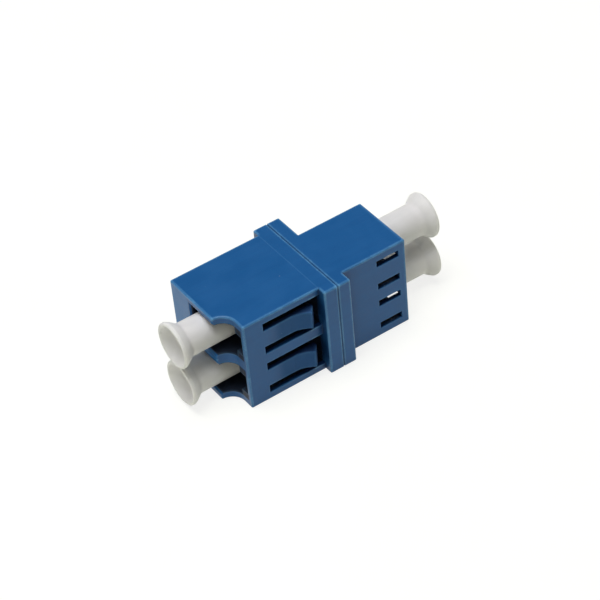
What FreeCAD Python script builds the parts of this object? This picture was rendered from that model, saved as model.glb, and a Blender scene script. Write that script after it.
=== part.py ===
import FreeCAD, Part
import os
import re
import Sketcher

# A duplex adapter that joins two pairs of small fibre connectors end to end.
# Two moulded halves are welded face to face at the middle of the flange. Between them they hold, for each
# of the two ports, a pair of sleeve holders with a split alignment sleeve inside. Four dust plugs close
# the ports.
#
# The frame: +X runs from the front half to the rear half along the ports, +Y points away from the side
# where the connectors' latches are, and +Z points up. X = 0 is the flange's face that bears on a panel,
# Y = 0 is the plane of the two port axes, and Z = 0 is the bottom face.

SIZES = [
    # name, millimetres, meaning
    ("body_height", 13.0, "height of both halves and of the flange"),
    ("front_reach", 14.7, "front half, from the weld to its front face"),
    ("front_near", 6.0, "front half, from the port axes to its latch side"),
    ("front_far", 6.6, "front half, from the port axes to its plain side"),
    ("rear_reach", 11.05, "rear half, from the weld to its rear face"),
    ("rear_near", 5.5, "rear half, from the port axes to its latch side"),
    ("rear_far", 3.55, "rear half, from the port axes to its plain side"),
    ("flange_front", 1.98, "the front half's share of the flange thickness"),
    ("flange_rear", 1.82, "the rear half's share of the flange thickness"),
    ("flange_lip", 1.15, "how far the flange stands out at each side of the front half"),
    ("edge_round", 0.2, "radius on the outer edges"),
    ("edge_break", 0.1, "radius on the rims of the side windows and on the fingers"),
    ("seam_chamfer", 0.12, "chamfer on each half that leaves the groove along the weld"),
    ("notch_corner", 2.45, "from the port axes to the start of the thumb notch"),
    ("notch_depth", 1.94, "how far the thumb notch sets the mouth back"),
    ("port_pitch", 6.25, "distance between the two port axes"),
    ("port_square", 4.66, "side of a port's square opening"),
    ("port_lead_in", 0.3, "bevel around a port's mouth"),
    ("ledge_reach", 4.15, "from a port axis to the ledges that the latch slides along"),
    ("keyway_width", 2.8, "width of the groove that the latch arm runs in"),
    ("front_keyway_reach", 5.4, "from a port axis to the front keyway's floor"),
    ("rear_keyway_reach", 4.9, "from a port axis to the rear keyway's floor"),
    ("catch_distance", 10.0, "from the weld to the edges that the latches catch on"),
    ("lug_window_low", 1.35, "from a port axis to the near edge of a lug window"),
    ("lug_window_high", 2.2, "from a port axis to the far edge of a lug window"),
    ("lug_window_length", 3.2, "length of a lug window"),
    ("finger_width", 2.56, "width of a panel latch finger"),
    ("finger_end", 3.0, "from the weld to a finger's free end"),
    ("finger_tip", 3.8, "from the weld to the highest point of a finger"),
    ("finger_ramp", 6.3, "from the weld to the start of a finger's ramp"),
    ("finger_bulge", 1.0, "how far a finger's tip stands out of the side"),
    ("web_depth", 1.9, "from the weld to the bottom of a port"),
    ("plate_thickness", 0.9, "thickness of a sleeve holder's plate"),
    ("plate_square", 4.4, "side of a sleeve holder's plate"),
    ("plate_play", 0.05, "gap around a sleeve holder's plate"),
    ("barrel_radius", 1.45, "outer radius of a sleeve holder's barrel"),
    ("barrel_play", 0.05, "gap around a barrel where it passes through the web"),
    ("barrel_reach", 4.3, "from the weld to a barrel's tip"),
    ("barrel_chamfer", 0.25, "chamfer on a barrel's tip"),
    ("ferrule_entry", 0.74, "radius of the tapered hole that a ferrule enters a barrel by, at its inner end"),
    ("ferrule_mouth", 1.05, "radius of that hole at the barrel's tip"),
    ("sleeve_length", 6.8, "length of an alignment sleeve"),
    ("sleeve_radius", 0.81, "outer radius of an alignment sleeve"),
    ("sleeve_bore", 0.6245, "radius of an alignment sleeve's bore"),
    ("sleeve_slot", 0.3, "width of the slot along an alignment sleeve"),
    ("sleeve_chamfer", 0.06, "chamfer on a sleeve's ends"),
    ("sleeve_play", 0.05, "gap around a sleeve inside its holders"),
    ("pin_radius", 0.5, "radius of the pins that line the two halves up"),
    ("pin_length", 0.9, "how far those pins stand out of the front half"),
    ("pin_play", 0.05, "gap around and past a pin in its hole"),
    ("pin_inset", 1.0, "from the flange's long edges to the pins' axes"),
    ("plug_length", 15.2, "length of a dust plug"),
    ("plug_play", 0.15, "gap between a plug's neck and the port's walls"),
    ("plug_draft", 0.07, "how much thinner a plug is at its tip than at its neck"),
    ("plug_bore_play", 0.15, "gap between a plug's bore and the barrel that it covers"),
    ("plug_tip_chamfer", 0.2, "chamfer on a plug's tip"),
    ("plug_end_wall", 1.0, "thickness of the wall between a plug's bore and its dish"),
    ("flare_length", 1.6, "length of a plug's flare"),
    ("rim_gap", 0.25, "gap between the rims of two neighbouring plugs"),
    ("rim_round", 0.18, "radius on a plug's rim"),
    ("rim_land", 0.42, "length of the straight band round a plug's rim, with its round edge"),
    ("flare_round", 3.0, "radius of the bulge of a plug's flare"),
    ("rim_width", 0.34, "width of the lip around a plug's dish"),
    ("dish_depth", 1.7, "depth of the dish in a plug's end"),
    ("front_upper_gap", 2.0, "how far the upper front plug stops short of its port's bottom"),
    ("front_lower_gap", 1.6, "how far the lower front plug stops short of its port's bottom"),
    ("rear_gap", 1.08, "how far the rear plugs stop short of their ports' bottoms"),
]
NAMES = {name for name, _, _ in SIZES}

FRONT = "front"
REAR = "rear"
PORTS = {
    "upper": "(body_height + port_pitch) / 2",
    "lower": "(body_height - port_pitch) / 2",
}
OVERRUN = 0.5  # how far a cutting tool runs past the face that it opens
NEARLY = 1e-4  # two places closer than this are the same place
FULL_TURN = 360
QUARTER_TURN = 90
HALF_TURN = 180
ORIGIN_POINT = (-1, 1)  # the sketcher's name for its own origin
LINE_ENDS = (1, 2)  # the sketcher's names for the two ends of a line or arc
AXIS_X = FreeCAD.Vector(1, 0, 0)
AXIS_Y = FreeCAD.Vector(0, 1, 0)
AXIS_Z = FreeCAD.Vector(0, 0, 1)

doc = FreeCAD.newDocument("fibre_adapter")
sheet = doc.addObject("Spreadsheet::Sheet", "sizes")
for row, (name, value, meaning) in enumerate(SIZES, 1):
    sheet.set(f"A{row}", meaning)
    sheet.set(f"B{row}", str(value))
    sheet.setAlias(f"B{row}", name)
doc.recompute()


# Formulas


def linked(formula):
    """The formula with each size's name written as a reference to the sheet."""
    return re.sub("[a-z_]+", lambda word: f"sizes.{word[0]}" if word[0] in NAMES else word[0], formula)


def number(formula):
    """The formula's value in millimetres."""
    return float(sheet.evalExpression(formula))


def bind(thing, **formulas):
    """Ties properties of an object to formulas; Base_x stands for the x of its place."""
    for target, formula in formulas.items():
        path = target.replace("Base_", "Placement.Base.")
        thing.setExpression(path, linked(formula))


def along(side, inner, outer):
    """The X range between two distances from the weld, into the front or the rear half."""
    if side == FRONT:
        return f"flange_front - ({outer})", f"flange_front - ({inner})"
    return f"flange_front + ({inner})", f"flange_front + ({outer})"


def about(centre, half):
    """The range that reaches half to each side of centre."""
    return f"{centre} - ({half})", f"{centre} + ({half})"


# Shapes


def block(label, x, y, z):
    """A box from a low and a high formula along each axis."""
    box = doc.addObject("Part::Box", label)
    bind(box, Length=f"{x[1]} - ({x[0]})", Width=f"{y[1]} - ({y[0]})", Height=f"{z[1]} - ({z[0]})")
    bind(box, Base_x=x[0], Base_y=y[0], Base_z=z[0])
    return box


def rod(label, radius, x, y, z):
    """A cylinder along X, from a low to a high x."""
    cylinder = doc.addObject("Part::Cylinder", label)
    cylinder.Placement = FreeCAD.Placement(FreeCAD.Vector(), FreeCAD.Rotation(AXIS_Y, QUARTER_TURN))
    bind(cylinder, Radius=radius, Height=f"{x[1]} - ({x[0]})", Base_x=x[0], Base_y=y, Base_z=z)
    return cylinder


def fused(label, *pieces):
    """All the pieces as one."""
    union = doc.addObject("Part::MultiFuse", label)
    union.Shapes = list(pieces)
    union.Refine = True
    return union


def cut(label, base, *tools):
    """base without the tools."""
    tool = tools[0] if len(tools) == 1 else fused(f"{label}_tools", *tools)
    difference = doc.addObject("Part::Cut", label)
    difference.Base = base
    difference.Tool = tool
    difference.Refine = True
    return difference


def softened(label, kind, base, size, wanted):
    """base with a fillet or chamfer of one size on the edges that wanted accepts."""
    doc.recompute()
    amount = number(size)
    finish = doc.addObject(kind, label)
    finish.Base = base
    finish.Edges = [(n, amount, amount) for n, edge in enumerate(base.Shape.Edges, 1) if wanted(edge)]
    return finish


def outline(label, corners):
    """A closed sketch in the XY plane. A corner is (x, y), reached by a line, or (x, y, radius, turn),
    reached by an arc that turns left (1) or right (-1)."""
    sketch = doc.addObject("Sketcher::SketchObject", label)
    places = [FreeCAD.Vector(number(corner[0]), number(corner[1]), 0) for corner in corners]
    count = len(corners)
    for index, corner in enumerate(corners):
        start = places[index - 1]
        end = places[index]
        if len(corner) == 2:
            sketch.addGeometry(Part.LineSegment(start, end), False)
        else:
            middle = arc_middle(start, end, number(corner[2]), corner[3])
            sketch.addGeometry(Part.Arc(start, middle, end), False)
    for index, corner in enumerate(corners):
        following = (index + 1) % count
        arrival = end_at(sketch, index, places[index])
        departure = end_at(sketch, following, places[index])
        sketch.addConstraint(Sketcher.Constraint("Coincident", index, arrival, following, departure))
        for direction, formula, distance in zip("XY", corner, places[index]):
            fixed = sketch.addConstraint(
                Sketcher.Constraint(f"Distance{direction}", *ORIGIN_POINT, index, arrival, distance)
            )
            sketch.renameConstraint(fixed, f"{direction}_{index}")
            sketch.setExpression(f"Constraints.{direction}_{index}", linked(formula))
        if len(corner) > 2:
            bend = sketch.addConstraint(Sketcher.Constraint("Radius", index, number(corner[2])))
            sketch.renameConstraint(bend, f"radius_{index}")
            sketch.setExpression(f"Constraints.radius_{index}", linked(corner[2]))
    return sketch


def arc_middle(start, end, radius, turn):
    """The middle of the short arc from start to end: a left turn bulges to the right of its chord."""
    half_chord = (end - start) / 2
    rise = radius - (radius * radius - half_chord.Length * half_chord.Length) ** 0.5
    sideways = AXIS_Z.cross(half_chord).normalize()
    return start + half_chord - sideways * rise * turn


def end_at(sketch, index, place):
    """Which end of a sketch's line or arc lies at a place."""
    return next(end for end in LINE_ENDS if (sketch.getPoint(index, end) - place).Length < NEARLY)


def spun(label, sketch):
    """The solid that the sketch sweeps in a full turn about X."""
    turned = doc.addObject("Part::Revolution", label)
    turned.Source = sketch
    turned.Axis = AXIS_X
    turned.Angle = FULL_TURN
    turned.Solid = True
    return turned


def raised(label, sketch, height, base_z):
    """The prism over the sketch, from base_z up."""
    prism = doc.addObject("Part::Extrusion", label)
    prism.Base = sketch
    prism.DirMode = "Custom"
    prism.Dir = AXIS_Z
    prism.Solid = True
    bind(prism, LengthFwd=height)
    bind(sketch, Base_z=base_z)
    return prism


# Edge picks


def at(place, formula):
    """Whether a place is where the formula says."""
    return abs(place - number(formula)) < NEARLY


def runs_along(edge, axis):
    """Whether an edge is parallel to an axis, given as its letter."""
    lengths = {"X": edge.BoundBox.XLength, "Y": edge.BoundBox.YLength, "Z": edge.BoundBox.ZLength}
    return all(length < NEARLY for letter, length in lengths.items() if letter != axis)


def flat_at_x(edge, formula):
    """Whether all of an edge lies in the plane at that X."""
    return at(edge.BoundBox.XMin, formula) and at(edge.BoundBox.XMax, formula)


def inside(edge, x, y):
    """Whether all of an edge lies in a range along X and in one along Y."""
    box = edge.BoundBox
    along_x = number(x[0]) - NEARLY < box.XMin and box.XMax < number(x[1]) + NEARLY
    along_y = number(y[0]) - NEARLY < box.YMin and box.YMax < number(y[1]) + NEARLY
    return along_x and along_y


# The moulded halves: hard blue plastic, one injection moulding each


def body_block(side, reach, near, far, flange):
    """The box of one half, from inside the flange to its open end."""
    return block(
        f"{side}_body",
        along(side, f"{flange} / 2", reach),
        (f"-{near}", far),
        ("0", "body_height"),
    )


def thumb_notch():
    """What the notch takes away: the mouth's latch side, with a round inner corner."""
    centre_y = "-(notch_corner + notch_depth)"
    corner = doc.addObject("Part::Cylinder", "notch_corner_post")
    bind(corner, Radius="notch_depth", Height=f"body_height + 2 * {OVERRUN}")
    bind(corner, Base_x="flange_front - front_reach", Base_y=centre_y, Base_z=f"-{OVERRUN}")
    step = block(
        "notch_step",
        along(FRONT, "front_reach - notch_depth", f"front_reach + {OVERRUN}"),
        (f"-(front_near + {OVERRUN})", centre_y),
        (f"-{OVERRUN}", f"body_height + {OVERRUN}"),
    )
    return corner, step


def flange_half(side, thickness):
    """One half of the flange, its outer edges rounded and its weld edges chamfered."""
    plate = block(
        f"{side}_flange",
        along(side, "0", thickness),
        ("-(front_near + flange_lip)", "front_far + flange_lip"),
        ("0", "body_height"),
    )
    rounded = softened(
        f"{side}_flange_rounded",
        "Part::Fillet",
        plate,
        "edge_round",
        lambda edge: not flat_at_x(edge, "flange_front"),
    )
    return softened(
        f"{side}_flange_chamfered",
        "Part::Chamfer",
        rounded,
        "seam_chamfer",
        lambda edge: flat_at_x(edge, "flange_front"),
    )


def port_mouth(side, reach, axis_z):
    """The bevel around a port's square mouth, as a pyramid's slice that narrows inwards."""
    bevel = doc.addObject("Part::Wedge", f"{side}_mouth")
    half = "port_square / 2"
    turn = -QUARTER_TURN if side == FRONT else QUARTER_TURN
    bevel.Placement = FreeCAD.Placement(FreeCAD.Vector(), FreeCAD.Rotation(AXIS_Z, turn))
    face = along(side, "0", reach)[0 if side == FRONT else 1]
    bind(bevel, Ymin="0", Ymax="port_lead_in", Base_x=face, Base_z=axis_z)
    bind(bevel, Xmin=f"-({half} + port_lead_in)", Xmax=f"{half} + port_lead_in")
    bind(bevel, Zmin=f"-({half} + port_lead_in)", Zmax=f"{half} + port_lead_in")
    bind(bevel, X2min=f"-{half}", X2max=half, Z2min=f"-{half}", Z2max=half)
    return bevel


def port_space(side, reach, keyway_reach, axis_z):
    """What one port takes out of a half: opening, latch groove, mouth bevel and the holder's seat."""
    half = "port_square / 2"
    tunnel = along(side, "web_depth", f"{reach} + {OVERRUN}")
    seat_half = "plate_square / 2 + plate_play"
    return [
        block(f"{side}_opening", tunnel, ("-ledge_reach", half), about(axis_z, half)),
        block(f"{side}_keyway", tunnel, (f"-{keyway_reach}", "0"), about(axis_z, "keyway_width / 2")),
        port_mouth(side, reach, axis_z),
        rod(
            f"{side}_barrel_hole",
            "barrel_radius + barrel_play",
            along(side, "0", f"web_depth + {OVERRUN}"),
            "0",
            axis_z,
        ),
        block(
            f"{side}_plate_seat",
            along(side, f"-{OVERRUN}", "plate_thickness"),
            about("0", seat_half),
            about(axis_z, seat_half),
        ),
    ]


def locating_pins(play):
    """The three pins across the weld, two beside the ports and one on the latch side, each larger by play."""
    far_y = "front_far + flange_lip - pin_inset"
    near_y = "-(front_near + flange_lip - pin_inset)"
    reach = along(REAR, f"-{OVERRUN}", f"pin_length + {play}")
    places = [(far_y, axis_z) for axis_z in PORTS.values()] + [(near_y, "body_height / 2")]
    return [rod("locating_pin", f"pin_radius + {play}", reach, y, z) for y, z in places]


def finger(axis_z):
    """A panel latch: a strip of the side wall that is free at its inner end, with a ramp and a back slope."""
    root = along(FRONT, "0", f"catch_distance + {OVERRUN}")[0]
    ramp, tip, end = (along(FRONT, "0", place)[0] for place in ("finger_ramp", "finger_tip", "finger_end"))
    ramp_radius = "((finger_ramp - finger_tip) ^ 2 + finger_bulge ^ 2) / (2 * finger_bulge)"
    shape = outline(
        "finger_outline",
        [
            (root, "-front_keyway_reach"),
            (root, "-front_near"),
            (ramp, "-front_near"),
            (tip, "-(front_near + finger_bulge)", ramp_radius, -1),
            (end, "-front_near"),
            (end, "-front_keyway_reach"),
        ],
    )
    return raised("finger", shape, "finger_width", f"{axis_z} - finger_width / 2")


def front_housing():
    """The front half: thumb notch at the mouth, and two panel latch fingers in its side windows."""
    solid = body_block(FRONT, "front_reach", "front_near", "front_far", "flange_front")
    notched = cut("front_notched", solid, *thumb_notch())
    smooth_y = "-(notch_corner + notch_depth)"

    def outer(edge):
        """Every edge but those inside the flange and the line where the notch's corner runs out."""
        runs_out = runs_along(edge, "Z") and at(edge.BoundBox.YMin, smooth_y)
        return not (runs_out or flat_at_x(edge, "flange_front / 2"))

    rounded = softened("front_rounded", "Part::Fillet", notched, "edge_round", outer)
    blank = fused("front_blank", rounded, flange_half(FRONT, "flange_front"))
    spaces = []
    for axis_z in PORTS.values():
        spaces += port_space(FRONT, "front_reach", "front_keyway_reach", axis_z)
        spaces.append(
            block(
                "finger_window",
                along(FRONT, "flange_front", "catch_distance"),
                (f"-(front_near + {OVERRUN})", "0"),
                about(axis_z, "port_square / 2"),
            )
        )
    opened = cut("front_opened", blank, *spaces)
    fingers = [finger(axis_z) for axis_z in PORTS.values()]
    moulding = fused("front_moulding", opened, *fingers, *locating_pins("0"))

    def rim(edge):
        """The edges of the windows and fingers, but not where they run smoothly into the housing."""
        window = along(FRONT, "flange_front", "catch_distance")
        smooth = (along(FRONT, "0", place)[0] for place in ("flange_front", "finger_ramp"))
        side_face = ("-(front_near + finger_bulge)", "-front_near")
        return inside(edge, window, side_face) and not any(flat_at_x(edge, x) for x in smooth)

    return softened("front_housing", "Part::Fillet", moulding, "edge_break", rim)


def rear_housing():
    """The rear half: four windows in its latch side, where the connectors' latch lugs come to rest."""
    solid = body_block(REAR, "rear_reach", "rear_near", "rear_far", "flange_rear")
    rounded = softened(
        "rear_rounded",
        "Part::Fillet",
        solid,
        "edge_round",
        lambda edge: not flat_at_x(edge, "flange_front + flange_rear / 2"),
    )
    blank = fused("rear_blank", rounded, flange_half(REAR, "flange_rear"))
    spaces = []
    for axis_z in PORTS.values():
        spaces += port_space(REAR, "rear_reach", "rear_keyway_reach", axis_z)
        for low, high in (("lug_window_low", "lug_window_high"), ("-lug_window_high", "-lug_window_low")):
            spaces.append(
                block(
                    "lug_window",
                    along(REAR, "catch_distance - lug_window_length", "catch_distance"),
                    (f"-(rear_near + {OVERRUN})", "0"),
                    (f"{axis_z} + ({low})", f"{axis_z} + ({high})"),
                )
            )
    moulding = cut("rear_moulding", blank, *spaces, *locating_pins("pin_play"))
    window = along(REAR, "catch_distance - lug_window_length", "catch_distance")
    side_face = ("-rear_near", "-rear_near")
    return softened(
        "rear_housing",
        "Part::Fillet",
        moulding,
        "edge_break",
        lambda edge: inside(edge, window, side_face),
    )


# The sleeve holders and sleeves: each port has two holders that meet at the weld around one sleeve


def sleeve_holder(port, side, axis_z):
    """A square plate with a barrel that points out into the port; the sleeve's half lies inside it."""
    pocket = "sleeve_radius + sleeve_play"
    pocket_end = "sleeve_length / 2 + sleeve_play"
    barrel = spun(
        "barrel",
        outline(
            "barrel_outline",
            [
                ("0", pocket),
                (pocket_end, pocket),
                (pocket_end, "ferrule_entry"),
                ("barrel_reach", "ferrule_mouth"),
                ("barrel_reach", "barrel_radius - barrel_chamfer"),
                ("barrel_reach - barrel_chamfer", "barrel_radius"),
                ("0", "barrel_radius"),
            ],
        ),
    )
    half = "plate_square / 2"
    plate = block("plate", ("0", "plate_thickness"), about("0", half), about("0", half))
    hole = rod("plate_hole", pocket, ("0", "plate_thickness"), "0", "0")
    holder = fused(f"{port}_{side}_sleeve_holder", barrel, cut("drilled_plate", plate, hole))
    place(holder, side, "0", axis_z)
    return holder


def place(thing, side, distance, axis_z):
    """Sets a piece that was made along +X from X = 0 on a port axis, so that it points out of one half."""
    if side == FRONT:
        thing.Placement = FreeCAD.Placement(FreeCAD.Vector(), FreeCAD.Rotation(AXIS_Z, HALF_TURN))
    x = along(side, "0", distance)[0 if side == FRONT else 1]
    bind(thing, Base_x=x, Base_z=axis_z)


def alignment_sleeve(port, axis_z):
    """A ceramic tube with a slot all along its top, which springs around two ferrules."""
    half = "sleeve_length / 2"
    tube = spun(
        "sleeve_tube",
        outline(
            "sleeve_outline",
            [
                (f"-{half} + sleeve_chamfer", "sleeve_bore"),
                (f"{half} - sleeve_chamfer", "sleeve_bore"),
                (half, "sleeve_bore + sleeve_chamfer"),
                (half, "sleeve_radius - sleeve_chamfer"),
                (f"{half} - sleeve_chamfer", "sleeve_radius"),
                (f"-{half} + sleeve_chamfer", "sleeve_radius"),
                (f"-{half}", "sleeve_radius - sleeve_chamfer"),
                (f"-{half}", "sleeve_bore + sleeve_chamfer"),
            ],
        ),
    )
    slot = block(
        "sleeve_slot_tool",
        (f"-{half} - {OVERRUN}", f"{half} + {OVERRUN}"),
        about("0", "sleeve_slot / 2"),
        ("0", f"sleeve_radius + {OVERRUN}"),
    )
    sleeve = cut(f"{port}_alignment_sleeve", tube, slot)
    bind(sleeve, Base_x="flange_front", Base_z=axis_z)
    return sleeve


# The dust plugs: soft pale plastic, hollow from the inner end, with a flared and dished outer end


def dust_plug(port, side, gap, axis_z):
    """A plug whose neck stands loose in the port's square and whose bore goes over the holder's barrel."""
    neck = "(port_square / 2 - plug_play)"
    tip = f"({neck} - plug_draft)"
    bore = "barrel_radius + plug_bore_play"
    rim = "((port_pitch - rim_gap) / 2)"
    mouth = f"({rim} - rim_width)"
    shape = outline(
        "plug_outline",
        [
            ("0", bore),
            ("plug_length - dish_depth - plug_end_wall", bore),
            ("plug_length - dish_depth - plug_end_wall", "0"),
            ("plug_length - dish_depth", "0"),
            ("plug_length", mouth, f"({mouth} ^ 2 + dish_depth ^ 2) / (2 * dish_depth)", -1),
            ("plug_length", f"{rim} - rim_round"),
            ("plug_length - rim_round", rim, "rim_round", 1),
            ("plug_length - rim_land", rim),
            ("plug_length - flare_length", neck, "flare_round", 1),
            ("plug_tip_chamfer", tip),
            ("0", f"{tip} - plug_tip_chamfer"),
        ],
    )
    plug = spun(f"{port}_{side}_dust_plug", shape)
    place(plug, side, f"web_depth + {gap}", axis_z)
    return plug


# The assembly

nodes = [front_housing(), rear_housing()]
for port, axis_z in PORTS.items():
    for side in (FRONT, REAR):
        nodes.append(sleeve_holder(port, side, axis_z))
    nodes.append(alignment_sleeve(port, axis_z))
    nodes.append(dust_plug(port, FRONT, f"front_{port}_gap", axis_z))
    nodes.append(dust_plug(port, REAR, "rear_gap", axis_z))
doc.recompute()

for thing in doc.Objects:
    if "Invalid" in thing.State or "Error" in thing.State:
        raise RuntimeError(f"{thing.Label} could not be worked out: {thing.State}")
for node in nodes:
    if node.Shape.isNull() or not node.Shape.isValid() or len(node.Shape.Solids) != 1:
        raise RuntimeError(f"{node.Label} is not one valid solid")

os.makedirs("parts", exist_ok=True)
for node in nodes:
    node.Shape.exportStep(f"parts/{node.Label}.step")
    print(node.Label, round(node.Shape.Volume, 3), node.Shape.BoundBox)
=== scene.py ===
"""The looks of a duplex fibre adapter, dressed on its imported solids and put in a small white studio."""

import math

import bpy
import numpy as np
from mathutils import Matrix, Quaternion, Vector


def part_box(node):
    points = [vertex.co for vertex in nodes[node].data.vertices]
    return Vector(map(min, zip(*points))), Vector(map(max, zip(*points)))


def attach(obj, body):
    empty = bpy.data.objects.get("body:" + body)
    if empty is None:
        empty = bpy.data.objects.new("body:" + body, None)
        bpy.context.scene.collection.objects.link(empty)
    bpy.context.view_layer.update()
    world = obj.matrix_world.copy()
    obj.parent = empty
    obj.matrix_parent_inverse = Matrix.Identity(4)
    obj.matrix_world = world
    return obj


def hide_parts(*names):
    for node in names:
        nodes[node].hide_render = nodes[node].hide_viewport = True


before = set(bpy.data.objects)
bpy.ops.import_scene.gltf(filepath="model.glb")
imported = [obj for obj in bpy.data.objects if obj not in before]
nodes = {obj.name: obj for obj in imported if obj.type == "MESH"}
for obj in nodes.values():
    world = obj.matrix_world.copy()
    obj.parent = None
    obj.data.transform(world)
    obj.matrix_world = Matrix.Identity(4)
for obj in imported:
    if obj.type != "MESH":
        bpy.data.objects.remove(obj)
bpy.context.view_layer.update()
scene = bpy.context.scene
MM = 0.001


# The front housing
# The half of the shell that faces the patch cord: one moulding in blue PBT, with a thumb notch over each
# port, sprung fingers cut out of its near side and half of the panel flange. Its back is welded to the
# rear half by ultrasound, so the two look like one block with a fine groove round the flange.

def display(red, green, blue):
    """A colour given in display levels, 0 to 255, as the linear values that a shader takes."""
    levels = np.array([red, green, blue]) / 255
    linear = np.where(levels > 0.04045, ((levels + 0.055) / 1.055) ** 2.4, levels / 12.92)
    return (*linear, 1.0)


def place_node(tree, kind, feeds, **settings):
    """A shader node with its settings made and its inputs fed, each by a link or by a plain value."""
    node = tree.nodes.new(f"ShaderNode{kind}")
    for setting, value in settings.items():
        setattr(node, setting, value)
    for socket, feed in feeds.items():
        if isinstance(feed, bpy.types.NodeSocket):
            tree.links.new(feed, node.inputs[socket])
        else:
            node.inputs[socket].default_value = feed
    return node


def sums(tree, operation, *terms):
    """One arithmetic step on two or three values."""
    return place_node(tree, "Math", dict(enumerate(terms)), operation=operation).outputs[0]


def ramp(tree, value, low, high, start=0.0, end=1.0):
    """A value taken smoothly from start to end as it goes from low to high."""
    feeds = {"Value": value, "From Min": low, "From Max": high, "To Min": start, "To Max": end}
    return place_node(tree, "MapRange", feeds, interpolation_type="SMOOTHSTEP").outputs["Result"]


def tint(tree, share, under, over, blend="MIX"):
    """The colour over laid on the colour under by a share from 0 to 1."""
    feeds = {"Factor": share, 6: under, 7: over}
    return place_node(tree, "Mix", feeds, data_type="RGBA", blend_type=blend).outputs[2]


def effect(name, inputs, outputs):
    """An empty shader node group with named number inputs and named outputs."""
    group = bpy.data.node_groups.new(name, "ShaderNodeTree")
    for label, value in inputs.items():
        socket = group.interface.new_socket(label, in_out="INPUT", socket_type="NodeSocketFloat")
        socket.default_value = value
    for label, kind in outputs.items():
        group.interface.new_socket(label, in_out="OUTPUT", socket_type=f"NodeSocket{kind}")
    given = group.nodes.new("NodeGroupInput").outputs
    made = group.nodes.new("NodeGroupOutput").inputs
    return group, given, made


def millimetres(tree):
    """The point on the piece in millimetres, so that a texture's scale is its count in a millimetre."""
    point = place_node(tree, "TexCoord", {}).outputs["Object"]
    return place_node(tree, "VectorMath", {0: point, "Scale": 1 / MM}, operation="SCALE").outputs[0]


def noise(tree, point, scale, detail, **feeds):
    """Soft noise about 0.5, with so many lumps in a millimetre."""
    feeds = {"Vector": point, "Scale": scale, "Detail": detail, **feeds}
    return place_node(tree, "TexNoise", feeds).outputs["Fac"]


NOISE_SPREAD = (0.3, 0.7)
MASK_SAMPLES = 12


def moulded_skin():
    """The fine spark-eroded grain that a steel mould leaves, with faint clouds and sinks under it."""
    group, given, made = effect(
        "moulded skin",
        {"Grains": 9.0, "Clouds": 0.35},
        {"Height": "Float", "Cloud": "Float", "Gloss": "Float"},
    )
    point = millimetres(group)
    grain = noise(group, point, given["Grains"], 3.0)
    pit_scale = sums(group, "MULTIPLY", given["Grains"], 0.45)
    pits = ramp(group, noise(group, point, pit_scale, 2.0), *NOISE_SPREAD)
    cloud = noise(group, point, given["Clouds"], 3.0, Distortion=0.6)
    gloss = sums(group, "MULTIPLY_ADD", grain, 0.4, sums(group, "MULTIPLY", cloud, 0.6))
    group.links.new(sums(group, "MULTIPLY_ADD", pits, 0.5, grain), made["Height"])
    group.links.new(ramp(group, cloud, *NOISE_SPREAD), made["Cloud"])
    group.links.new(gloss, made["Gloss"])
    return group


def edge_highlight_and_wear():
    """A mask of the corners, where a short ray into the solid meets a wall: painted highlight along the
    edges, also standing for light rubbing.
    """
    group, given, made = effect("edge highlight and wear", {"Reach": 0.3, "Evenness": 0.5}, {"Mask": "Float"})
    feeds = {"Distance": sums(group, "MULTIPLY", given["Reach"], MM)}
    settings = {"inside": True, "only_local": True, "samples": MASK_SAMPLES}
    inward = place_node(group, "AmbientOcclusion", feeds, **settings).outputs["AO"]
    corner = ramp(group, inward, 0.97, 0.7)
    patches = ramp(group, noise(group, millimetres(group), 0.9, 4.0), 0.35, 0.62)
    share = sums(group, "MAXIMUM", patches, given["Evenness"])
    group.links.new(sums(group, "MULTIPLY", corner, share), made["Mask"])
    return group


def recess_shade():
    """A mask of the deep hollows, where painted shade darkens the colour because little light reaches in
    there.
    """
    inputs = {"Depth": 6.0, "Open": 0.5, "Shut": 0.15}
    group, given, made = effect("recess shade", inputs, {"Mask": "Float"})
    feeds = {"Distance": sums(group, "MULTIPLY", given["Depth"], MM)}
    settings = {"only_local": True, "samples": MASK_SAMPLES}
    openness = place_node(group, "AmbientOcclusion", feeds, **settings).outputs["AO"]
    group.links.new(ramp(group, openness, given["Open"], given["Shut"]), made["Mask"])
    return group


def packing_dust():
    """Sparse pale specks from the bag: a few cells in a hundred hold one, of uneven size."""
    inputs = {"Cells": 1.1, "Share": 0.1, "Size": 0.07}
    group, given, made = effect("packing dust", inputs, {"Mask": "Float"})
    point = millimetres(group)
    feeds = {"Vector": point, "Scale": 7.0, "Detail": 2.0}
    lumps = place_node(group, "TexNoise", feeds).outputs["Color"]
    feeds = {0: lumps, 1: (0.16, 0.16, 0.16), 2: point}
    bent = place_node(group, "VectorMath", feeds, operation="MULTIPLY_ADD").outputs[0]
    cells = place_node(group, "TexVoronoi", {"Vector": bent, "Scale": given["Cells"]})
    pick = place_node(group, "SeparateColor", {"Color": cells.outputs["Color"]}).outputs
    chosen = sums(group, "LESS_THAN", pick["Red"], given["Share"])
    size = sums(group, "MULTIPLY", given["Size"], sums(group, "ADD", pick["Green"], 0.4))
    speck = ramp(group, cells.outputs["Distance"], size, sums(group, "MULTIPLY", size, 0.5))
    group.links.new(sums(group, "MULTIPLY", speck, chosen), made["Mask"])
    return group


def melt_flow():
    """Long soft streaks along X, the way the melt ran from the gate at the flange to the far end."""
    group, given, made = effect("melt flow", {"Streaks": 1.6, "Stretch": 0.12}, {"Streak": "Float"})
    parts = place_node(group, "SeparateXYZ", {"Vector": millimetres(group)}).outputs
    along = sums(group, "MULTIPLY", parts["X"], given["Stretch"])
    drawn = place_node(group, "CombineXYZ", {"X": along, "Y": parts["Y"], "Z": parts["Z"]}).outputs[0]
    streak = noise(group, drawn, given["Streaks"], 4.0, Distortion=0.8)
    group.links.new(ramp(group, streak, 0.32, 0.68), made["Streak"])
    return group


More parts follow.
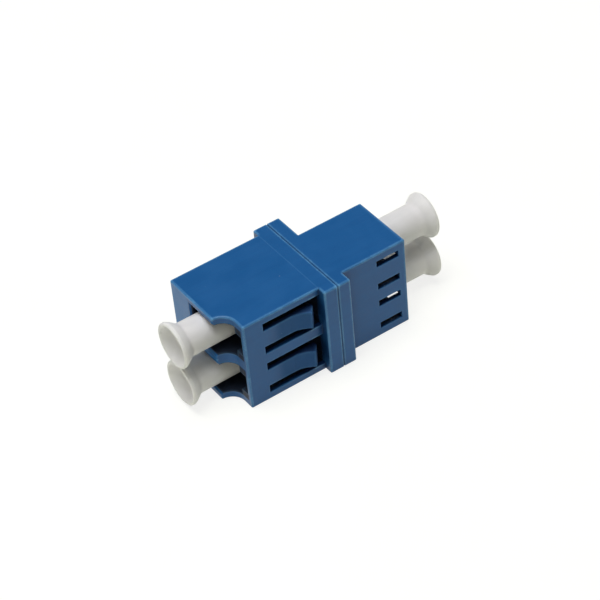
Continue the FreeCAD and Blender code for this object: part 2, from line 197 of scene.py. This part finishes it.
def witness_line():
    """The hair-fine step that two mould parts leave where they meet, in a plane across X."""
    outputs = {"Step": "Float", "Line": "Float"}
    group, given, made = effect("witness line", {"Place": 0.0, "Width": 0.1}, outputs)
    parts = place_node(group, "SeparateXYZ", {"Vector": millimetres(group)}).outputs
    off = sums(group, "SUBTRACT", parts["X"], given["Place"])
    half = sums(group, "MULTIPLY", given["Width"], 0.5)
    step = ramp(group, off, sums(group, "MULTIPLY", half, -1.0), half)
    line = ramp(group, sums(group, "ABSOLUTE", off), given["Width"], 0.0)
    group.links.new(step, made["Step"])
    group.links.new(line, made["Line"])
    return group


def away(tree, value, place):
    """How far a value is from a place, without a sign."""
    return sums(tree, "ABSOLUTE", sums(tree, "SUBTRACT", value, place))


def port_walls():
    """A mask of what lies within a port: near either port axis in Z, and between two planes across Y."""
    inputs = {"Middle": 6.5, "Axis": 3.125, "Half": 2.38, "Near": -5.45, "Far": 2.42}
    group, given, made = effect("port walls", inputs, {"Mask": "Float"})
    parts = place_node(group, "SeparateXYZ", {"Vector": millimetres(group)}).outputs
    off_axis = away(group, away(group, parts["Z"], given["Middle"]), given["Axis"])
    soft = 0.04
    level = ramp(group, sums(group, "SUBTRACT", off_axis, given["Half"]), soft, 0.0)
    near = ramp(group, sums(group, "SUBTRACT", parts["Y"], given["Near"]), -soft, 0.0)
    far = ramp(group, sums(group, "SUBTRACT", parts["Y"], given["Far"]), soft, 0.0)
    across = sums(group, "MULTIPLY", near, far)
    group.links.new(sums(group, "MULTIPLY", level, across), made["Mask"])
    return group


def side_windows():
    """A mask of the near side's openings between two planes across X, and one of the fingers in them."""
    inputs = {"Start": -8.4, "End": -1.3, "Middle": 6.5, "Axis": 3.125}
    group, given, made = effect("side windows", inputs, {"Mask": "Float", "Finger": "Float"})
    parts = place_node(group, "SeparateXYZ", {"Vector": millimetres(group)}).outputs
    soft = 0.1
    after = ramp(group, sums(group, "SUBTRACT", parts["X"], given["Start"]), -soft, soft)
    before = ramp(group, sums(group, "SUBTRACT", given["End"], parts["X"]), -soft, soft)
    inner_skin, outer_skin = -4.6, -4.8
    near = ramp(group, parts["Y"], inner_skin, outer_skin)
    off_middle = away(group, parts["Z"], given["Middle"])
    window_reach, full_reach = 5.95, 5.85
    level = ramp(group, off_middle, window_reach, full_reach)
    stretch = sums(group, "MULTIPLY", after, before)
    group.links.new(sums(group, "MULTIPLY", stretch, sums(group, "MULTIPLY", near, level)), made["Mask"])
    half_width, full_width = 1.34, 1.3
    width = ramp(group, away(group, off_middle, given["Axis"]), half_width, full_width)
    strip = sums(group, "MULTIPLY", near, width)
    # The finger mask grows from root to tip, and carries painted shade on the fingers.
    root, leaning = 0.2, 3.0
    lean = ramp(group, sums(group, "SUBTRACT", parts["X"], given["Start"]), root, leaning)
    past_end, tip = 0.9, 0.7
    short = ramp(group, sums(group, "SUBTRACT", parts["X"], given["End"]), past_end, tip)
    group.links.new(sums(group, "MULTIPLY", strip, sums(group, "MULTIPLY", lean, short)), made["Finger"])
    return group


SKIN = moulded_skin()
EDGES = edge_highlight_and_wear()
RECESS = recess_shade()
DUST = packing_dust()
FLOW = melt_flow()
WITNESS = witness_line()
PORTS = port_walls()
WINDOWS = side_windows()


def lay(tree, group, **feeds):
    """A shader node group placed in a material with that material's own values."""
    return place_node(tree, "Group", feeds, node_tree=group).outputs


def start_material(name, **constants):
    """A material with one Principled shader, whose even values are set straight on its sockets."""
    made = bpy.data.materials.new(name)
    made.use_nodes = True
    shader = made.node_tree.nodes["Principled BSDF"]
    for socket, value in constants.items():
        shader.inputs[socket.replace("_", " ")].default_value = value
    return made, made.node_tree, shader.inputs


def relief(tree, steps, radius=0.05):
    """A normal from stacked bumps (height, strength, depth in mm), over corners eased by a radius."""
    normal = place_node(tree, "Bevel", {"Radius": radius * MM}, samples=6).outputs["Normal"]
    for height, strength, depth in steps:
        feeds = {"Height": height, "Strength": strength, "Distance": depth * MM, "Normal": normal}
        normal = place_node(tree, "Bump", feeds).outputs["Normal"]
    return normal


HOUSING_BLUE = display(20, 91, 153)
HOUSING_DEEP = display(17, 86, 147)
# Painted highlight colour for the lit corners.
HOUSING_EDGE_HIGHLIGHT = display(108, 170, 216)
# Painted shade colour for deep hollows and the weld groove.
HOUSING_HOLLOW_SHADE = display(7, 40, 84)
# Painted shade colour for the ports' insides.
PORT_SHADE = display(8, 12, 22)
# Painted shade colour for the fingers, which the top wall shades.
FINGER_SHADE_BLUE = display(12, 62, 108)
# Painted light colour for the end face.
END_FACE_LIT_BLUE = display(24, 106, 170)
DUST_PALE = display(150, 172, 196)
WELD_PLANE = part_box("rear_housing")[0][0] / MM
UPPER_AXIS, LOWER_AXIS = (
    sum(corner[2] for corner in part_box(f"{port}_front_dust_plug")) / 2 / MM
    for port in ("upper", "lower")
)
PORT_MIDDLE = (UPPER_AXIS + LOWER_AXIS) / 2
PORT_OFFSET = (UPPER_AXIS - LOWER_AXIS) / 2
PORT_HALF, PORT_FAR = 2.38, 2.42
MOUTH_HALF, MOUTH_FAR = 3.0, 2.8


def housing_plastic(name, end_at, witness_at, near_wall, windows, finger_shade):
    """Blue moulded PBT with a dull sheen.

    Painted highlights make it paler along its corners, less so near the floor, and painted light makes its
    end face paler. Painted shade makes it darker inside the ports, in the groove at the weld, in deep
    hollows and on the fingers. The steel was left rougher inside the ports and on the fingers, so they
    spread the light that they mirror.
    """
    made, tree, sockets = start_material(name, Specular_IOR_Level=0.34, IOR=1.5)
    skin = lay(tree, SKIN, Grains=9.0, Clouds=0.3)
    corners = lay(tree, EDGES, Reach=0.36, Evenness=0.65)["Mask"]
    # Painted shade in deep hollows.
    hollow_shade = lay(tree, RECESS, Depth=6.0, Open=0.95, Shut=0.42)["Mask"]
    weld = lay(tree, WITNESS, Place=WELD_PLANE, Width=0.24)["Line"]
    axes = {"Middle": PORT_MIDDLE, "Axis": PORT_OFFSET}
    inside = lay(tree, PORTS, Half=PORT_HALF, Near=near_wall, Far=PORT_FAR, **axes)["Mask"]
    mouth = lay(tree, PORTS, Half=MOUTH_HALF, Near=near_wall, Far=MOUTH_FAR, **axes)["Mask"]
    slots = lay(tree, WINDOWS, Start=windows[0], End=windows[1], **axes)
    port_share, weld_share, shelter_share = 0.85, 0.65, 0.85
    # Painted shade inside the ports.
    port_shade = sums(tree, "MULTIPLY", inside, port_share)
    # Painted shade in the groove at the weld.
    groove_shade = sums(tree, "MULTIPLY", weld, weld_share)
    shut = sums(tree, "MAXIMUM", hollow_shade, sums(tree, "MAXIMUM", port_shade, groove_shade))
    # Painted highlights are kept off corners where shade falls: in the ports, the weld groove, deep
    # hollows, the mouths and the side windows.
    sheltered = sums(tree, "MULTIPLY", sums(tree, "MAXIMUM", mouth, slots["Mask"]), shelter_share)
    unshaded = sums(tree, "SUBTRACT", 1.0, sums(tree, "MAXIMUM", shut, sheltered))
    height = place_node(tree, "SeparateXYZ", {"Vector": millimetres(tree)}).outputs["Z"]
    # Painted highlights fade towards the floor, where less light falls on the corners.
    foot, clear_of_foot, foot_share = 0.1, 0.8, 0.3
    from_floor = ramp(tree, height, foot, clear_of_foot, foot_share, 1.0)
    edge_lit = sums(tree, "MULTIPLY", corners, sums(tree, "MULTIPLY", unshaded, from_floor))
    # Painted shade on the fingers.
    finger = sums(tree, "MULTIPLY", slots["Finger"], finger_shade)
    specks = lay(tree, DUST, Cells=0.9, Share=0.05, Size=0.06)["Mask"]
    streak = lay(tree, FLOW, Streaks=1.2, Stretch=0.1)["Streak"]
    witness = lay(tree, WITNESS, Place=witness_at, Width=0.12)

    cloud_share, streak_share = 0.55, 0.45
    drawn = sums(tree, "MULTIPLY", streak, streak_share)
    mottle = sums(tree, "MULTIPLY_ADD", skin["Cloud"], cloud_share, drawn)
    shade = tint(tree, mottle, HOUSING_DEEP, HOUSING_BLUE)
    # Painted light makes the end face paler, with less of it in the mouths, which lie in shade.
    end_face = lay(tree, WITNESS, Place=end_at, Width=0.15)["Line"]
    mouth_clear = -0.9
    end_face_light = sums(tree, "MULTIPLY", end_face, sums(tree, "MULTIPLY_ADD", mouth, mouth_clear, 1.0))
    end_face_lit = tint(tree, end_face_light, shade, END_FACE_LIT_BLUE)
    line_share, hollow_share, edge_lit_share, dust_share = 0.09, 0.9, 0.85, 0.35
    # Painted highlight along the mould's witness line.
    lined = tint(tree, sums(tree, "MULTIPLY", witness["Line"], line_share), end_face_lit, HOUSING_EDGE_HIGHLIGHT)
    # Painted shade on the fingers.
    leaning = tint(tree, finger, lined, FINGER_SHADE_BLUE)
    # Painted shade over the hollows, the ports and the weld groove.
    hollowed = tint(tree, sums(tree, "MULTIPLY", shut, hollow_share), leaning, HOUSING_HOLLOW_SHADE)
    # Painted shade deep in the ports.
    port_shaded = tint(tree, port_shade, hollowed, PORT_SHADE)
    # Painted highlight along the corners.
    edge_lit_colour = tint(tree, sums(tree, "MULTIPLY", edge_lit, edge_lit_share), port_shaded, HOUSING_EDGE_HIGHLIGHT)
    dusted = tint(tree, sums(tree, "MULTIPLY", specks, dust_share), edge_lit_colour, DUST_PALE)
    tree.links.new(dusted, sockets["Base Color"])

    smooth, coarse, edge_gain, dust_gain = 0.3, 0.42, -0.08, 0.3
    dull = ramp(tree, skin["Gloss"], *NOISE_SPREAD, smooth, coarse)
    edge_dull = sums(tree, "MULTIPLY_ADD", edge_lit, edge_gain, dull)
    dusted_dull = sums(tree, "MULTIPLY_ADD", specks, dust_gain, edge_dull)
    port_dull, finger_gain = 0.55, 1.2
    port_least = sums(tree, "MULTIPLY", inside, port_dull)
    finger_least = sums(tree, "MULTIPLY", finger, finger_gain)
    least_dull = sums(tree, "MAXIMUM", port_least, finger_least)
    tree.links.new(sums(tree, "MAXIMUM", dusted_dull, least_dull), sockets["Roughness"])
    steps = ((skin["Height"], 0.35, 0.012), (streak, 0.2, 0.01), (witness["Step"], 0.6, 0.02))
    tree.links.new(relief(tree, steps), sockets["Normal"])
    return made


def wear(node_name, material):
    """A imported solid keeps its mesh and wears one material."""
    slots = nodes[node_name].data.materials
    slots.clear()
    slots.append(material)


front_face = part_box("front_housing")[0][0] / MM
front_keyway = -5.45
front_windows = (-8.4, -1.55)
front_blue = housing_plastic("front_housing_blue", front_face, 0.0, front_keyway, front_windows, 0.55)
wear("front_housing", front_blue)


# The rear housing
# The other half of the shell, moulded in the same blue PBT: a narrower block with two slits a port where
# the latch catches show, and the rear half of the flange. It is welded to the front half.

rear_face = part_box("rear_housing")[1][0] / MM
rear_witness = rear_face - 0.35
rear_keyway = -4.95
rear_windows = (8.4, 12.3)
rear_blue = housing_plastic("rear_housing_blue", rear_face, rear_witness, rear_keyway, rear_windows, 0.0)
wear("rear_housing", rear_blue)


# The sleeve holders
# A thin plate with a barrel on it, one each side of each sleeve, in the same PBT but out of a polished
# mould. The plates lie in pockets of the two housings and the weld clamps them there.

def holder_plastic():
    """Smoother blue PBT, with the drag lines of a core that is pulled out along X."""
    made, tree, sockets = start_material("sleeve_holder_blue", Specular_IOR_Level=0.5, IOR=1.5)
    skin = lay(tree, SKIN, Grains=14.0, Clouds=0.6)
    edge_lit = lay(tree, EDGES, Reach=0.12, Evenness=0.4)["Mask"]
    streak = lay(tree, FLOW, Streaks=5.0, Stretch=0.04)["Streak"]
    shade = tint(tree, skin["Cloud"], HOUSING_DEEP, HOUSING_BLUE)
    edge_lit_share, smooth, coarse = 0.4, 0.2, 0.32
    # Painted highlight along the holder's corners.
    edge_lit_colour = tint(tree, sums(tree, "MULTIPLY", edge_lit, edge_lit_share), shade, HOUSING_EDGE_HIGHLIGHT)
    tree.links.new(edge_lit_colour, sockets["Base Color"])
    tree.links.new(ramp(tree, skin["Gloss"], *NOISE_SPREAD, smooth, coarse), sockets["Roughness"])
    steps = ((skin["Height"], 0.2, 0.006), (streak, 0.3, 0.01))
    tree.links.new(relief(tree, steps), sockets["Normal"])
    return made


sleeve_holder_blue = holder_plastic()
for port in ("upper", "lower"):
    for side in ("front", "rear"):
        wear(f"{port}_{side}_sleeve_holder", sleeve_holder_blue)


# The alignment sleeves
# A split tube of zirconia ceramic for each port, ground and lapped inside, that grips two ferrules end
# to end. It floats between its two holders.

def ground_ceramic():
    """Ivory zirconia with a hard gloss and fine rings from the grinding wheel."""
    made, tree, sockets = start_material("alignment_sleeve_ceramic", IOR=2.1, Coat_Roughness=0.06)
    skin = lay(tree, SKIN, Grains=20.0, Clouds=0.8)
    edge_lit = lay(tree, EDGES, Reach=0.06, Evenness=0.3)["Mask"]
    parts = place_node(tree, "SeparateXYZ", {"Vector": millimetres(tree)}).outputs
    feeds = {"W": parts["X"], "Scale": 30.0, "Detail": 3.0}
    rings = place_node(tree, "TexNoise", feeds, noise_dimensions="1D").outputs["Fac"]
    ivory = tint(tree, skin["Cloud"], display(226, 222, 208), display(240, 238, 230))
    # Painted highlight along the sleeve's corners.
    tree.links.new(tint(tree, edge_lit, ivory, display(250, 250, 248)), sockets["Base Color"])
    smooth, coarse, thin_coat, thick_coat = 0.1, 0.24, 0.2, 0.4
    tree.links.new(ramp(tree, rings, *NOISE_SPREAD, smooth, coarse), sockets["Roughness"])
    tree.links.new(ramp(tree, skin["Gloss"], *NOISE_SPREAD, thin_coat, thick_coat), sockets["Coat Weight"])
    steps = ((rings, 0.3, 0.004), (skin["Height"], 0.1, 0.003))
    tree.links.new(relief(tree, steps, 0.02), sockets["Normal"])
    return made


alignment_sleeve_ceramic = ground_ceramic()
for port in ("upper", "lower"):
    wear(f"{port}_alignment_sleeve", alignment_sleeve_ceramic)


# The dust plugs
# Four soft plugs of natural polyethylene, one in each port until a connector goes in: a drafted neck
# that stands in the port's square, hollow over the holder's barrel, and a flared end with a dish to grip
# it by. Each is pushed in by hand and pulls straight out along X.

NECK_RADIUS = 2.18 * MM
TIP_RADIUS = 2.11 * MM
TIP_CHAMFER = 0.2 * MM
BORE_RADIUS = 1.6 * MM
END_WALL = 1.0 * MM
FLARE_LENGTH = 1.6 * MM
FLARE_BULGE = 4.5 * MM
FLARE_FILLET = 0.28 * MM
RIM_LAND = 0.42 * MM
RIM_ROUND = 0.18 * MM
RIM_WIDTH = 0.34 * MM
LIP_ROUND = 0.06 * MM
DISH_DEPTH = 1.7 * MM
GATE_RADIUS = 0.42 * MM
GATE_HEIGHT = 0.12 * MM
BORE_EDGE = 0.12 * MM
PLUG_SIDES = 160


def plug_profile(length, rim):
    """The plug's half section as points (along, radius), from the bore's end wall to the dish's middle.

    The bore is straight and its bottom flat. The neck widens evenly from tip to neck. The flare is the arc
    of a circle that bulges outwards from its chord: so far along the chord, it stands off it by the
    circle's height there less its height at the chord's ends. A parabola through the corner's two
    neighbours rounds the corner between neck and flare. The rim is a straight band and a quarter circle,
    the lip is flat, and the dish is a cap of a sphere whose middle stands up a little in the bell shape of
    a trimmed gate.
    """
    floor = length - DISH_DEPTH - END_WALL
    bottom = [(floor, BORE_RADIUS * share) for share in (0.5, 0.9)]
    bore = [(floor - BORE_EDGE, BORE_RADIUS), (length * 0.4, BORE_RADIUS), (0.0, BORE_RADIUS)]
    tip = [(0.0, TIP_RADIUS - TIP_CHAMFER), (TIP_CHAMFER, TIP_RADIUS)]
    corner = np.array([length - FLARE_LENGTH, NECK_RADIUS])
    neck_share = np.linspace(0.1, 1.0, 12)[:, None]
    neck_end = corner - (FLARE_FILLET, 0.0)
    neck = (TIP_CHAMFER, TIP_RADIUS) * (1 - neck_share) + neck_end * neck_share
    chord = np.array([length - RIM_LAND, rim]) - corner
    chord_length = math.hypot(*chord)
    outwards = np.array([-chord[1], chord[0]]) / chord_length
    place = np.linspace(FLARE_FILLET / chord_length, 1.0, 18)[:, None]
    height = np.sqrt(FLARE_BULGE**2 - ((place - 0.5) * chord_length) ** 2)
    lift = height - math.sqrt(FLARE_BULGE**2 - (chord_length / 2) ** 2)
    flare = corner + chord * place + outwards * lift
    blend = np.linspace(0.0, 1.0, 7)[1:-1, None]
    fillet = neck_end * (1 - blend) ** 2 + corner * 2 * blend * (1 - blend) + flare[0] * blend**2
    band = [(length - RIM_LAND * 0.9, rim), (length - RIM_ROUND, rim)]
    turn = np.linspace(0.0, math.pi / 2, 9)[1:]
    edge = np.column_stack([
        length - RIM_ROUND + RIM_ROUND * np.sin(turn),
        rim - RIM_ROUND + RIM_ROUND * np.cos(turn),
    ])
    mouth = rim - RIM_WIDTH
    ball = (mouth**2 + DISH_DEPTH**2) / (2 * DISH_DEPTH)
    lean = np.linspace(math.asin(mouth / ball), 0.0, 40)[:-1]
    reach = ball * np.sin(lean)
    gate = GATE_HEIGHT * np.exp(-((reach / GATE_RADIUS) ** 4))
    dish = np.column_stack([length - DISH_DEPTH + ball * (1 - np.cos(lean)) + gate, reach])
    lip_corner = 0.3 * LIP_ROUND
    lip = [(length, mouth + LIP_ROUND), (length - lip_corner, mouth + lip_corner)]
    start, end = [(floor, 0.0)], [(length - DISH_DEPTH + GATE_HEIGHT, 0.0)]
    outside = [tip, neck, fillet, flare, band, edge]
    return np.vstack([start, bottom, bore, *outside, lip, dish[1:], end])


def ring_faces(rings, sides):
    """Four-sided faces between neighbouring rings, whose points are numbered ring by ring."""
    here = np.arange(sides)
    after = (here + 1) % sides
    row = (np.arange(rings - 1) * sides)[:, None]
    corners = [row + here, row + after, row + sides + after, row + sides + here]
    return np.stack(corners, axis=-1).reshape(-1, 4).tolist()


def turned(name, profile, centre, way):
    """A closed skin turned about a line along X through the centre.

    Each profile point (along, radius), apart from the two on the line, is carried round a full circle:
    at the angle t it stands at x = along times way, y = radius cos t and z = radius sin t, from the
    centre. Neighbouring rings are joined by four-sided faces and the two end points by fans. The UV map
    holds the share of the turn and the length along the profile in millimetres.
    """
    angle = np.arange(PLUG_SIDES) * 2 * math.pi / PLUG_SIDES
    along, radius = profile[1:-1, 0:1], profile[1:-1, 1:2]
    rings = np.stack([
        centre[0] + way * along * np.ones_like(angle),
        centre[1] + radius * np.cos(angle),
        centre[2] + radius * np.sin(angle),
    ], axis=-1).reshape(-1, 3)
    ends = np.array([[centre[0] + way * x, centre[1], centre[2]] for x in profile[[0, -1], 0]])
    points = np.vstack([rings, ends])
    count = len(profile) - 2
    here = np.arange(PLUG_SIDES)
    after = (here + 1) % PLUG_SIDES
    first = np.stack([np.full(PLUG_SIDES, len(rings)), after, here], axis=-1)
    last_row = (count - 1) * PLUG_SIDES
    last = np.stack([np.full(PLUG_SIDES, len(rings) + 1), last_row + here, last_row + after], axis=-1)
    faces = [*ring_faces(count, PLUG_SIDES), *first.tolist(), *last.tolist()]
    if way > 0:
        faces = [face[::-1] for face in faces]
    mesh = bpy.data.meshes.new(name)
    mesh.from_pydata(points.tolist(), [], faces)
    walk = np.concatenate([[0], np.cumsum(np.hypot(*np.diff(profile, axis=0).T))]) / MM
    corner = np.empty(len(mesh.loops), dtype=np.int32)
    mesh.loops.foreach_get("vertex_index", corner)
    ring = np.where(corner < len(rings), corner // PLUG_SIDES + 1, 0)
    ring[corner == len(rings) + 1] = len(profile) - 1
    share = (corner % PLUG_SIDES) / PLUG_SIDES
    uv = mesh.uv_layers.new(name="turned").data
    uv.foreach_set("uv", np.column_stack([share, walk[ring]]).ravel().astype(np.float32))
    mesh.shade_smooth()
    piece = bpy.data.objects.new(name, mesh)
    scene.collection.objects.link(piece)
    return piece


def plug_plastic():
    """Natural polyethylene: milky, waxy, a little cloudy, with the mould's line along both sides."""
    made, tree, sockets = start_material(
        "dust_plug_polyethylene",
        Specular_IOR_Level=0.4,
        IOR=1.51,
        Subsurface_Weight=0.7,
        Subsurface_Radius=(1.0 * MM, 1.0 * MM, 0.95 * MM),
        Subsurface_Scale=1.0,
    )
    skin = lay(tree, SKIN, Grains=6.0, Clouds=0.45)
    edge_lit = lay(tree, EDGES, Reach=0.2, Evenness=0.6)["Mask"]
    specks = lay(tree, DUST, Cells=0.8, Share=0.05, Size=0.05)["Mask"]
    streak = lay(tree, FLOW, Streaks=1.4, Stretch=0.2)["Streak"]
    place = place_node(tree, "UVMap", {}, uv_map="turned").outputs["UV"]
    share = place_node(tree, "SeparateXYZ", {"Vector": place}).outputs["X"]
    quarter_turn, seam_width = 0.25, 0.006
    seam = ramp(tree, sums(tree, "PINGPONG", share, quarter_turn), seam_width, 0.0)
    cloud_share, streak_share, edge_lit_share, dust_share = 0.6, 0.4, 0.5, 0.4
    drawn = sums(tree, "MULTIPLY", streak, streak_share)
    mottle = sums(tree, "MULTIPLY_ADD", skin["Cloud"], cloud_share, drawn)
    milky = tint(tree, mottle, display(227, 225, 226), display(233, 231, 232))
    # Painted highlight along the plug's corners.
    pale = tint(tree, sums(tree, "MULTIPLY", edge_lit, edge_lit_share), milky, display(240, 241, 241))
    dusted = tint(tree, sums(tree, "MULTIPLY", specks, dust_share), pale, display(168, 164, 154))
    tree.links.new(dusted, sockets["Base Color"])
    smooth, coarse = 0.38, 0.52
    tree.links.new(ramp(tree, skin["Gloss"], *NOISE_SPREAD, smooth, coarse), sockets["Roughness"])
    steps = ((skin["Height"], 0.25, 0.012), (streak, 0.2, 0.02), (seam, 0.5, 0.015))
    tree.links.new(relief(tree, steps, 0.03), sockets["Normal"])
    return made


dust_plug_polyethylene = plug_plastic()
for port in ("upper", "lower"):
    for side, way in (("front", -1), ("rear", 1)):
        solid = f"{port}_{side}_dust_plug"
        low, high = (np.array(corner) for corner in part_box(solid))
        inner_end = high[0] if way < 0 else low[0]
        middle = (low + high) / 2
        half_height = (high[2] - low[2]) / 2
        section = plug_profile(high[0] - low[0], half_height)
        plug = turned(f"{port}_{side}_plug", section, (inner_end, middle[1], middle[2]), way)
        plug.data.materials.append(dust_plug_polyethylene)
        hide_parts(solid)
        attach(plug, f"{port}_{side}_plug")


# The studio
# A round white sweep under and about the adapter, one wide soft lamp overhead and a dim even room. The
# lamp stands a little towards the front end, so that it lights the dishes of the front plugs.

SWEEP_FLAT = 1.0
SWEEP_BEND = 0.3
SWEEP_TOP = 0.45
SWEEP_SIDES = 96


def studio_sweep():
    """A flat disc that bends up through a quarter circle into a low round wall."""
    turn = np.linspace(0.0, math.pi / 2, 12)
    bend = np.column_stack([SWEEP_FLAT + SWEEP_BEND * np.sin(turn), SWEEP_BEND * (1 - np.cos(turn))])
    profile = np.vstack([bend, [(SWEEP_FLAT + SWEEP_BEND, SWEEP_TOP)]])
    angle = np.arange(SWEEP_SIDES) * 2 * math.pi / SWEEP_SIDES
    radius, height = profile[:, 0:1], profile[:, 1:2]
    points = np.stack(
        [radius * np.cos(angle), radius * np.sin(angle), height * np.ones_like(angle)], axis=-1
    ).reshape(-1, 3)
    disc = list(range(SWEEP_SIDES))
    mesh = bpy.data.meshes.new("studio_sweep")
    mesh.from_pydata(points.tolist(), [], [disc, *ring_faces(len(profile), SWEEP_SIDES)])
    piece = bpy.data.objects.new("studio_sweep", mesh)
    scene.collection.objects.link(piece)
    return piece


def sweep_paper():
    """White paper that takes a shadow and looks plain white to the camera and in reflections."""
    made, tree, sockets = start_material("sweep_paper", Roughness=0.9, Specular_IOR_Level=0.0)
    fibres = ramp(tree, noise(tree, millimetres(tree), 0.05, 4.0), *NOISE_SPREAD)
    shade = tint(tree, fibres, display(240, 241, 227), display(244, 245, 231))
    tree.links.new(shade, sockets["Base Color"])
    rays = place_node(tree, "LightPath", {}).outputs
    seen = sums(tree, "MAXIMUM", rays["Is Camera Ray"], rays["Is Transmission Ray"])
    mirrored = sums(tree, "MAXIMUM", seen, rays["Is Glossy Ray"])
    glow_strength, glow_share = 1.13, 0.7
    glow = place_node(tree, "Emission", {"Color": (1, 1, 1, 1), "Strength": glow_strength}).outputs[0]
    body = tree.nodes["Principled BSDF"].outputs[0]
    feeds = {0: sums(tree, "MULTIPLY", mirrored, glow_share), 1: body, 2: glow}
    mixed = place_node(tree, "MixShader", feeds).outputs[0]
    tree.links.new(mixed, tree.nodes["Material Output"].inputs["Surface"])
    return made


sweep = studio_sweep()
sweep.data.materials.append(sweep_paper())

room = bpy.data.worlds.new("dim_room")
room.use_nodes = True
room_light = room.node_tree.nodes["Background"].inputs
room_light["Color"].default_value = (0.98, 1, 0.94, 1)
room_light["Strength"].default_value = 0.16
scene.world = room


def aim(piece, place, target, roll=0.0):
    """Stands a lamp or the camera in its place, turned to a target and rolled about that line."""
    turn = (target - place).to_track_quat("-Z", "Y") @ Quaternion((0, 0, 1), roll)
    piece.matrix_world = Matrix.LocRotScale(place, turn, None)
    scene.collection.objects.link(piece)


LAMP_PLACE = Vector((-0.1, 0.04, 0.69))
LAMP_TARGET = Vector((0, 0, 0.006))
LAMP_WIDTH = 0.4
LAMP_WATTS = 4.0
lamp_data = bpy.data.lights.new("overhead_lamp", "AREA")
lamp_data.shape = "SQUARE"
lamp_data.size = LAMP_WIDTH
lamp_data.energy = LAMP_WATTS
aim(bpy.data.objects.new("overhead_lamp", lamp_data), LAMP_PLACE, LAMP_TARGET)

CAMERA_PLACE = Vector((-0.10361, -0.17298, 0.18625))
CAMERA_TARGET = Vector((0.946, -0.029, 6.5)) * MM
CAMERA_ROLL = math.radians(-5.884)
CAMERA_LENS = 134.38
SENSOR_WIDTH = 36
NEAR_CLIP = 0.01
camera_data = bpy.data.cameras.new("camera")
camera_data.lens = CAMERA_LENS
camera_data.sensor_width = SENSOR_WIDTH
camera_data.clip_start = NEAR_CLIP
camera = bpy.data.objects.new("camera", camera_data)
aim(camera, CAMERA_PLACE, CAMERA_TARGET, CAMERA_ROLL)
scene.camera = camera
scene.view_settings.view_transform = "Standard"
